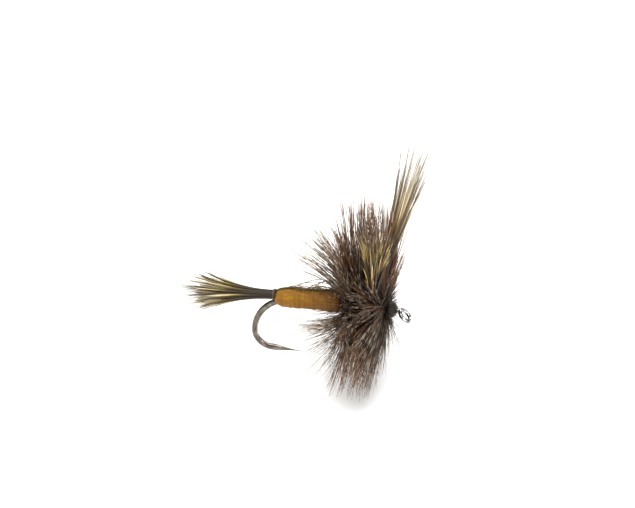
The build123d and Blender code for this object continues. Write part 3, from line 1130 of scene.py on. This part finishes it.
def make_web():
    """Short soft fibres that fill the collar near the quills and crowd the rear of the head."""
    low = span("brown_hackle_stem")[0][0]
    high = span("grizzly_hackle_stem")[1][0]
    steps = 6
    bundle = Bundle(3)
    for _ in range(1500):
        x = rng.uniform(low, high)
        angle = rng.uniform(0, math.tau)
        lean = np.interp(x, [low, high], [-0.30, 0.03]) + rng.normal() * 0.13
        out = unit(outward(angle) + FORWARD * lean)
        start = np.array([x, 0.0, SHANK_Z]) + outward(angle) * 0.42
        length = rng.uniform(1.6, 6.2) + 0.9 * max(outward(angle)[2], 0)
        swirl = np.cross(out, FORWARD) * rng.normal() * 0.12
        end = start + unit(out + swirl) * length
        path = bezier(start, start + out * length * 0.5, end, steps)
        bundle.strand(path, taper(0.024, 0.022, 0.006, steps), rng.uniform())
    head_rear = span("thread_head")[0][0]
    for _ in range(170):
        angle = rng.uniform(0, math.tau)
        out = outward(angle)
        start = np.array([head_rear + rng.uniform(-0.15, 0.12), 0.0, SHANK_Z]) + out * 0.5
        way = unit(outward(angle + rng.normal() * 0.12) + FORWARD * rng.uniform(0.05, 0.75))
        length = rng.uniform(0.6, 1.7)
        path = bezier(start, start + out * length * 0.5, start + way * length, steps)
        bundle.strand(path, taper(0.022, 0.022, 0.006, steps), rng.uniform())
    bundle.make("hackle_web_fibres", web_material, (), "brown_feather")


make_web()


# ---------------------------------------------------------------- camera, floor and light

CAMERA_AZIMUTH = math.radians(14.0)
CAMERA_ELEVATION = math.radians(29.5)
CAMERA_ROLL = math.radians(1.8)
CAMERA_LENS = 250.0
SENSOR = 36.0
FRAME_WIDTH = 57.15  # how much of the fly's space the picture takes in, in millimetres
EYE_ASIDE = 7.875  # how far right of the picture's middle the eye is
EYE_BELOW = 5.535  # and how far below it
FLY_MIDDLE = Vector((-7.0, 0.0, 1.0))
FLOOR_HALF = 1500.0  # half of the floor's side
FLOOR_DROP = 0.2  # how far under the lowest barb the floor lies


def make_camera():
    """A long lens that looks down on the fly's right side."""
    a, e = CAMERA_AZIMUTH, CAMERA_ELEVATION
    back = np.array([math.sin(a) * math.cos(e), -math.cos(a) * math.cos(e), math.sin(e)])
    level = np.array([math.cos(a), math.sin(a), 0.0])
    rise = np.cross(back, level)
    right = level * math.cos(CAMERA_ROLL) - rise * math.sin(CAMERA_ROLL)
    up = level * math.sin(CAMERA_ROLL) + rise * math.cos(CAMERA_ROLL)
    target = -right * EYE_ASIDE + up * EYE_BELOW
    distance = FRAME_WIDTH * CAMERA_LENS / SENSOR
    camera = bpy.data.cameras.new("camera")
    camera.lens, camera.sensor_width = CAMERA_LENS, SENSOR
    camera.clip_start, camera.clip_end = 0.005, 10.0
    rig = bpy.data.objects.new("camera", camera)
    bpy.context.scene.collection.objects.link(rig)
    place = (target + back * distance) * MM
    rig.matrix_world = Matrix(
        (
            (right[0], up[0], back[0], place[0]),
            (right[1], up[1], back[1], place[1]),
            (right[2], up[2], back[2], place[2]),
            (0, 0, 0, 1),
        )
    )
    bpy.context.scene.camera = rig


make_camera()


def make_floor():
    """A pale plain floor under the lowest barbs."""
    low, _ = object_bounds()
    half = FLOOR_HALF * MM
    mesh = bpy.data.meshes.new("floor")
    corners = [(-half, -half, 0), (half, -half, 0), (half, half, 0), (-half, half, 0)]
    mesh.from_pydata(corners, [], [(0, 1, 2, 3)])
    material, tree, shader = new_material("pale_floor", Roughness=0.9, Specular_IOR_Level=0.1)
    mottle = noise(tree, object_place(tree), 30.0)
    paper = ramp(tree, mottle, [(0.3, (0.912, 0.907, 0.90)), (0.7, (0.928, 0.923, 0.917))])
    tree.links.new(paper, shader.inputs["Base Color"])
    mesh.materials.append(material)
    floor = bpy.data.objects.new("floor", mesh)
    floor.location.z = low.z - FLOOR_DROP * MM
    bpy.context.scene.collection.objects.link(floor)


make_floor()


def add_light(name, place, size, energy):
    """A soft white square lamp that looks at the fly's middle."""
    lamp = bpy.data.lights.new(name, "AREA")
    lamp.size, lamp.energy = size * MM, energy
    rig = bpy.data.objects.new(name, lamp)
    rig.location = Vector(place) * MM
    aim = FLY_MIDDLE * MM - rig.location
    rig.rotation_mode = "QUATERNION"
    rig.rotation_quaternion = aim.to_track_quat("-Z", "Y")
    bpy.context.scene.collection.objects.link(rig)


add_light("key", (-5, -125, 260), 170, 0.85)
add_light("fill", (160, -120, 120), 120, 0.16)
add_light("rim", (40, 180, 160), 100, 0.30)
add_light("kick", (100, -200, 45), 30, 0.10)  # small and low, for glints on the hook


def make_world():
    """A studio with a pale backdrop, darker walls above it that shape the metal, and a bright top."""
    world = bpy.data.worlds.new("studio")
    world.use_nodes = True
    tree = world.node_tree
    place = add_node(tree, "ShaderNodeTexCoord").outputs["Generated"]
    backdrop, wall, top = (0.80, 0.795, 0.785), (0.26, 0.25, 0.24), (1.0, 1.0, 1.0)
    bands = [(0.0, backdrop), (0.07, backdrop), (0.16, wall), (0.32, wall), (0.7, top)]
    sky = ramp(tree, axes(tree, place)[2], bands)
    background = tree.nodes["Background"]
    tree.links.new(sky, background.inputs["Color"])
    background.inputs["Strength"].default_value = 0.95
    bpy.context.scene.world = world


make_world()
bpy.context.scene.view_settings.view_transform = "Standard"
